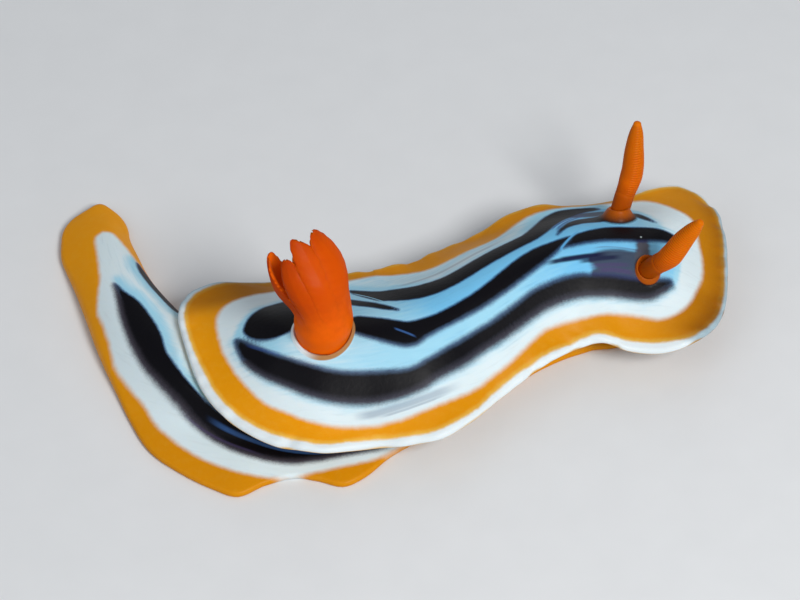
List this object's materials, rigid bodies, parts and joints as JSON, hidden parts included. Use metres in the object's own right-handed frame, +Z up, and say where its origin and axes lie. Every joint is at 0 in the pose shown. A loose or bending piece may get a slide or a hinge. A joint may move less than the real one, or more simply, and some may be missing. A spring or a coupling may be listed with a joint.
{
  "type": "magnificent chromodoris sea slug",
  "caption": "Life-size still model of a magnificent chromodoris, a striped sea slug, crawling in a slow S-bend on its flat sole.",
  "frame": {"origin": "middle of the animal's box in plan, at the level of the floor under its sole", "axes": "+Z up, +X towards the head, +Y towards the animal's left side, where its tail swings round"},
  "size_m": [0.0582, 0.0328, 0.0178],
  "materials": {
    "body_skin": "smooth wet skin: white, sky blue and black stripes, inside an orange band with a white rim",
    "feeler_skin": "orange skin with fine rings, soft and wet",
    "gill_skin": "red-orange plumes, thin, soft and wet"
  },
  "bodies": {
    "root": {"mantle_front": "body_skin", "mantle_middle": "body_skin", "mantle_rear": "body_skin", "head": "body_skin", "oral_tentacle_left": "body_skin", "oral_tentacle_right": "body_skin", "trunk_front": "body_skin", "trunk_rear": "body_skin", "foot_front": "body_skin", "foot_middle": "body_skin", "foot_rear": "body_skin", "tail": "body_skin", "tail_tip": "body_skin", "rhinophore_sheath_left": "body_skin", "rhinophore_sheath_right": "body_skin", "gill_pocket": "body_skin", "vent": "body_skin", "rhinophore_stalk_left": "feeler_skin", "rhinophore_club_left": "feeler_skin", "rhinophore_stalk_right": "feeler_skin", "rhinophore_club_right": "feeler_skin", "gill_1": "gill_skin", "gill_2": "gill_skin", "gill_3": "gill_skin", "gill_4": "gill_skin", "gill_5": "gill_skin", "gill_6": "gill_skin", "gill_7": "gill_skin", "gill_8": "gill_skin"}
  },
  "joints": []
}
